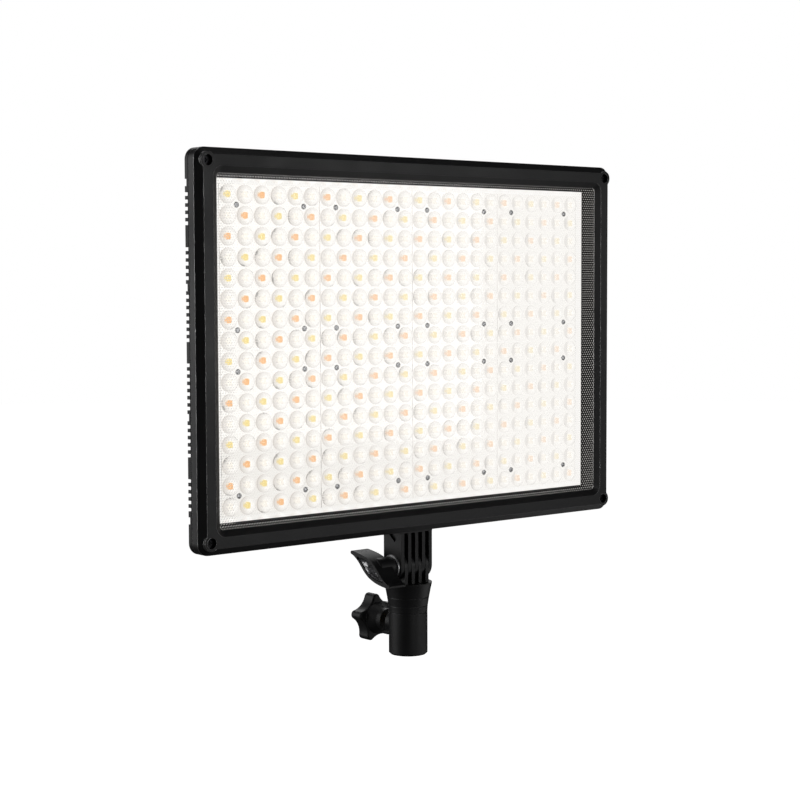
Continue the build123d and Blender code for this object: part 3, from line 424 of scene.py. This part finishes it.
# The record's material slots, and what makes each one's material from its name
FINISHES = {
    # Black metal: its near-white edge_colour on upright edges is a painted highlight on the side edges,
    # along with wear.
    "black_metal": lambda name: coated(
        name, (0.010, 0.010, 0.011), 0.44, grain=0.45 * MM, depth=0.05 * MM,
        edge=0.5 * MM, edge_colour=(0.95, 0.95, 0.96), upright=True),
    "black_plastic": lambda name: coated(
        name, (0.009, 0.009, 0.010), 0.48, grain=0.5 * MM, depth=0.06 * MM,
        edge=0.3 * MM, edge_colour=(0.14, 0.14, 0.145)),
    "frame_plastic": lambda name: coated(
        name, (0.003, 0.003, 0.003), 0.6, grain=0.4 * MM, depth=0.04 * MM,
        edge=0.2 * MM, edge_colour=(0.01, 0.01, 0.01), shine=0.04),
    "clear_acrylic": light_guide,
    "lens_acrylic": lens_acrylic,
    "white_mask": white_mask,
    "daylight_phosphor": lambda name: chip(name, phosphor=(0.93, 0.73, 0.28), rim=(0.93, 0.87, 0.70)),
    "tungsten_phosphor": lambda name: chip(name, phosphor=(0.96, 0.50, 0.21), rim=(0.95, 0.82, 0.66)),
    "clear_chip": lambda name: chip(name, phosphor=(1.0, 0.95, 0.85), rim=(0.82, 0.79, 0.75)),
    "steel": lambda name: brushed(name, (0.74, 0.74, 0.75), 0.36, stretch=(1, 1, 6)),
    "bright_steel": lambda name: brushed(name, (0.9, 0.9, 0.91), 0.42, stretch=(6, 1, 1)),
    "black_steel": lambda name: brushed(name, (0.035, 0.035, 0.037), 0.38, stretch=(6, 1, 1)),
    "aluminium": lambda name: brushed(name, (0.7, 0.7, 0.72), 0.36, stretch=(1, 1, 9)),
    "circuit_green": lambda name: coated(
        name, (0.02, 0.13, 0.06), 0.35, grain=0.6 * MM, depth=0.03 * MM,
        edge=0.1 * MM, edge_colour=(0.05, 0.25, 0.12)),
    "component_grey": lambda name: coated(
        name, (0.03, 0.03, 0.032), 0.35, grain=0.4 * MM, depth=0.03 * MM,
        edge=0.1 * MM, edge_colour=(0.1, 0.1, 0.1)),
    "display_glass": smoked_glass,
    "brass": lambda name: brushed(name, (0.75, 0.56, 0.25), 0.28, stretch=(1, 6, 1)),
    "badge_silver": crumpled_foil,
    "nylon": lambda name: coated(
        name, (0.75, 0.74, 0.69), 0.42, grain=0.7 * MM, depth=0.03 * MM,
        edge=0.15 * MM, edge_colour=(0.85, 0.84, 0.8)),
}
materials = {slot: make(slot) for slot, make in FINISHES.items()}

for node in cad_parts.values():
    for place, old in enumerate(node.data.materials):
        slot = old.name.split(".")[0]
        node.data.materials[place] = materials[slot]


# ---------------------------------------------------------------- mesh building
def mesh_piece(name, bm, material, smooth=True):
    """A new object from a bmesh, at the origin. The bmesh is used up."""
    bmesh.ops.recalc_face_normals(bm, faces=bm.faces)
    data = bpy.data.meshes.new(name)
    bm.to_mesh(data)
    bm.free()
    data.materials.append(material)
    for face in data.polygons:
        face.use_smooth = smooth
    made = bpy.data.objects.new(name, data)
    bpy.context.scene.collection.objects.link(made)
    return made


def block(bm, place, size):
    """Adds a box to bm, where the matrix place puts it."""
    bmesh.ops.create_cube(bm, size=1.0, matrix=place @ Matrix.Diagonal((*size, 1)))


def seat(piece, body):
    """Hangs a finished piece on its CAD body."""
    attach(piece, body)


def turned(profile):
    """A closed solid turned about Z from (radius, height) points that start and end on the axis."""
    bm = bmesh.new()
    rings = []
    for radius, height in profile:
        if radius == 0:
            rings.append([bm.verts.new((0, 0, height))])
            continue
        turns = [2 * math.pi * i / ROUND_STEPS for i in range(ROUND_STEPS)]
        rings.append([bm.verts.new((radius * math.cos(t), radius * math.sin(t), height)) for t in turns])
    for low, high in zip(rings, rings[1:]):
        for i in range(ROUND_STEPS):
            corners = [low[i % len(low)], low[(i + 1) % len(low)]]
            corners += [high[(i + 1) % len(high)], high[i % len(high)]]
            bm.faces.new(list(dict.fromkeys(corners)))
    return bm


def cross_head(radius, height):
    """Mesh of a domed screw head with a cross recess, its seat at z = 0 and its crown up."""
    head = mesh_piece("screw_form", turned([
        (0, 0), (radius, 0), (radius, height * 0.35), (radius * 0.9, height * 0.7),
        (radius * 0.6, height * 0.93), (0, height),
    ]), materials["steel"])
    cutter_mesh = bmesh.new()
    reach = radius * 1.15
    width = radius * 0.26
    for size in ((reach, width), (width, reach)):
        block(cutter_mesh, Matrix.Translation((0, 0, height)), (*size, height * 1.1))
    cutter = mesh_piece("screw_cutter", cutter_mesh, materials["steel"], smooth=False)
    cut = head.modifiers.new("recess", "BOOLEAN")
    cut.object = cutter
    cut.operation = "DIFFERENCE"
    cut.use_self = True
    shown = head.evaluated_get(bpy.context.evaluated_depsgraph_get())
    result = bpy.data.meshes.new_from_object(shown)
    bpy.data.objects.remove(cutter)
    bpy.data.objects.remove(head)
    return result


def copies(name, form, places, body, slot):
    """One object on a body that holds a copy of a mesh at each place."""
    bm = bmesh.new()
    for place in places:
        start = len(bm.verts)
        bm.from_mesh(form)
        bm.verts.ensure_lookup_table()
        bmesh.ops.transform(bm, matrix=place, verts=bm.verts[start:])
    piece = mesh_piece(name, bm, materials[slot], smooth=False)
    seat(piece, body)
    return piece


# ---------------------------------------------------------------- lens tile screws
SCREW_RADIUS = 1.75 * MM
SCREW_HEIGHT = 0.7 * MM

# Where a tile's four screws are, in lens pitches from its middle
SCREWS_ACROSS = (-2, 2)
SCREWS_UP = (-3, 3)

# Turns a screw that stands up so that its crown faces the front
FACING_FRONT = Matrix.Rotation(math.radians(90), 4, "X")


def tile_screws():
    """Cross-head screws, four in each lens tile, in the gaps between its lenses."""
    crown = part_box("lens_screws")[0].y
    tiles = [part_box(f"lens_tile_{n}") for n in range(1, 9)]
    flat = crown + SCREW_HEIGHT
    places = []
    for low, high in tiles:
        middle = (low + high) / 2
        for side in SCREWS_ACROSS:
            for up in SCREWS_UP:
                spot = (middle.x + side * LENS_PITCH, flat, middle.z + up * LENS_PITCH)
                # Each recess stands at its own angle, as it does where screws were driven home
                turn = Matrix.Rotation(0.7 * side + 0.4 * up + spot[0] * 40, 4, "Z")
                places.append(Matrix.Translation(spot) @ FACING_FRONT @ turn)
    form = cross_head(SCREW_RADIUS, SCREW_HEIGHT)
    piece = copies("tile_screw_heads", form, places, "lamp_head", "steel")
    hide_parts("lens_screws")


tile_screws()


# ---------------------------------------------------------------- display
# Each segment's middle in half digit widths and in arms above the foot, and whether it lies flat
SEGMENTS = {
    "a": (0, 2, True), "b": (1, 1.5, False), "c": (1, 0.5, False), "d": (0, 0, True),
    "e": (-1, 0.5, False), "f": (-1, 1.5, False), "g": (0, 1, True),
}
DIGITS = {"5": "acdfg", "6": "acdefg", "8": "abcdefg"}
MARK_DEPTH = 0.06 * MM
DIGIT_HEIGHT = 7 * MM
DIGIT_LEVEL = 1.5 * MM

# Thickness of a digit's strokes as a share of its height, and the digits' pitch in arms
DIGIT_STROKE = 0.14
DIGIT_PITCH = 1.5

# The level bar under the digits
BAR_LEVEL = -6.2 * MM
BAR_PITCH = 2.6 * MM
BAR_WIDTH = 1.7 * MM
TALL_BAR = 1.6 * MM
SHORT_BAR = 0.4 * MM
BARS = 12
TALL_BARS = 9


def display_marks():
    """Two seven-segment numbers and a level bar on the display, read from the rear."""
    low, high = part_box("display_module")
    face = high.y + MARK_DEPTH
    middle = (low + high) / 2
    bm = bmesh.new()

    def mark(across, up, width, height):
        """A lit mark. across runs to the right of someone who looks at the display."""
        place = Matrix.Translation((middle.x - across, face, middle.z + up))
        block(bm, place, (width, MARK_DEPTH, height))

    def number(text, across):
        arm = DIGIT_HEIGHT / 2
        stroke = DIGIT_HEIGHT * DIGIT_STROKE
        for index, letter in enumerate(text):
            left = across + index * arm * DIGIT_PITCH
            for name in DIGITS[letter]:
                side, level, lying = SEGMENTS[name]
                size = (arm - stroke, stroke) if lying else (stroke, arm - stroke)
                mark(left + side * arm / 2, DIGIT_LEVEL + (level - 1) * arm, *size)

    number("56", -13 * MM)
    number("85", 5 * MM)
    for step in range(BARS):
        across = (step - (BARS - 1) / 2) * BAR_PITCH
        mark(across, BAR_LEVEL, BAR_WIDTH, TALL_BAR if step < TALL_BARS else SHORT_BAR)
    marks = mesh_piece("display_marks", bm, glowing_segment(), smooth=False)
    seat(marks, "lamp_head")


display_marks()


# ---------------------------------------------------------------- printed ticks round the dials
# The arc's number of ticks, its first angle and the angle between two, in degrees
TICKS = 21
TICK_START = -150
TICK_ANGLE = 15

TICK_GAP = 1.9 * MM
TICK_WIDTH = 0.28 * MM
TICK_DEPTH = 0.03 * MM
LONG_TICK = 1.7 * MM
SHORT_TICK = 1.0 * MM
LONG_EVERY = 5


def dial_ticks():
    """A printed arc of ticks round each dial on the fascia."""
    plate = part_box("control_fascia")[1].y
    bm = bmesh.new()
    for knob in ("brightness_knob", "colour_knob"):
        low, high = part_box(knob)
        middle = (low + high) / 2
        reach = (high.x - low.x) / 2 + TICK_GAP
        for step in range(TICKS):
            turn = Matrix.Rotation(math.radians(TICK_START + TICK_ANGLE * step), 4, "Y")
            place = Matrix.Translation((middle.x, plate, middle.z)) @ turn
            length = SHORT_TICK if step % LONG_EVERY else LONG_TICK
            block(bm, place @ Matrix.Translation((0, 0, reach)), (TICK_WIDTH, TICK_DEPTH, length))
    ink = coated("printed_ink", (0.55, 0.55, 0.55), 0.55, grain=0.3 * MM, depth=0.01 * MM,
                 edge=0.05 * MM, edge_colour=(0.6, 0.6, 0.6))
    seat(mesh_piece("dial_ticks", bm, ink, smooth=False), "lamp_head")


dial_ticks()


# ---------------------------------------------------------------- studio
FLOOR_Z = -0.45
FLOOR_RADIUS = 9.0

# The world's brightness for light that falls on the object, and as the camera sees it
WORLD_LIGHT = 0.03
WORLD_SEEN = 1.0

# Name, direction from the panel's centre, distance, width and height in metres, and watts
LIGHTS = (
    ("front_right", (0.50, -0.85, 0.02), 1.7, 0.8, 0.5, 3.2),
    ("front_strip", (-0.17, -0.98, 0.05), 1.6, 0.10, 1.1, 1.6),
    ("bounce", (0.62, -0.25, -0.62), 0.7, 0.5, 0.35, 0.35),
    ("rear_left", (-0.78, 0.55, 0.12), 1.7, 1.4, 1.3, 9),
    ("rear_right", (0.55, 0.8, 0.5), 1.9, 1.2, 1.0, 6),
    ("overhead", (0.0, 0.35, 1.0), 1.7, 1.2, 0.8, 3),
)

# The camera's place in metres, its turns in degrees, and its lens and sensor in millimetres
CAMERA_PLACE = (-0.72005, -0.8586, 0.2362)
CAMERA_TURN = -39.745
CAMERA_DIP = 3.867
CAMERA_ROLL = -0.191
CAMERA_LENS = 80.608
CAMERA_SENSOR = 36.0


def floor():
    """A large pale disc under the lamp. Only the camera sees it, so it throws no light up at the object."""
    bm = bmesh.new()
    bmesh.ops.create_circle(bm, cap_ends=True, radius=FLOOR_RADIUS, segments=96)
    for vert in bm.verts:
        vert.co.z = FLOOR_Z
    s = Shader("floor_paper", roughness=0.8)
    s.put(s.bsdf.inputs["Base Color"], s.mixed(s.noise(0.4), (0.9, 0.9, 0.9), (0.93, 0.93, 0.93)))
    lit(s, (1.0, 1.0, 1.0, 1))
    made = mesh_piece("floor", bm, s.material)
    made.visible_diffuse = False
    made.visible_glossy = False
    made.visible_transmission = False


def softbox(name, towards, distance, width, height, power):
    """A rectangular light that faces the panel's centre. The camera doesn't see it."""
    lamp = bpy.data.lights.new(name, "AREA")
    lamp.shape = "RECTANGLE"
    lamp.size = width
    lamp.size_y = height
    lamp.energy = power
    made = bpy.data.objects.new(name, lamp)
    direction = Vector(towards).normalized()
    made.location = PANEL_CENTRE + direction * distance
    made.rotation_euler = direction.to_track_quat("Z", "Y").to_euler()
    made.visible_camera = False
    bpy.context.scene.collection.objects.link(made)


def studio():
    """A world that looks white but lights the object only a little, and the soft lights."""
    world = bpy.data.worlds.new("studio")
    bpy.context.scene.world = world
    world.use_nodes = True
    tree = world.node_tree
    background = tree.nodes["Background"]
    background.inputs["Color"].default_value = (1, 1, 1, 1)
    seen = tree.nodes.new("ShaderNodeLightPath")
    level = tree.nodes.new("ShaderNodeMapRange")
    level.inputs["To Min"].default_value = WORLD_LIGHT
    level.inputs["To Max"].default_value = WORLD_SEEN
    tree.links.new(seen.outputs["Is Camera Ray"], level.inputs["Value"])
    tree.links.new(level.outputs["Result"], background.inputs["Strength"])
    for light in LIGHTS:
        softbox(*light)


def camera():
    """The photographer's place: left of the panel and a little above its middle, with a long lens."""
    data = bpy.data.cameras.new("camera")
    data.sensor_width = CAMERA_SENSOR
    data.lens = CAMERA_LENS
    made = bpy.data.objects.new("camera", data)
    turn = Matrix.Rotation(math.radians(CAMERA_TURN), 4, "Z")
    tip = Matrix.Rotation(math.radians(90 - CAMERA_DIP), 4, "X")
    roll = Matrix.Rotation(math.radians(CAMERA_ROLL), 4, "Z")
    made.matrix_world = Matrix.Translation(CAMERA_PLACE) @ turn @ tip @ roll
    bpy.context.scene.collection.objects.link(made)
    bpy.context.scene.camera = made


floor()
studio()
camera()
bpy.context.scene.view_settings.view_transform = "Standard"
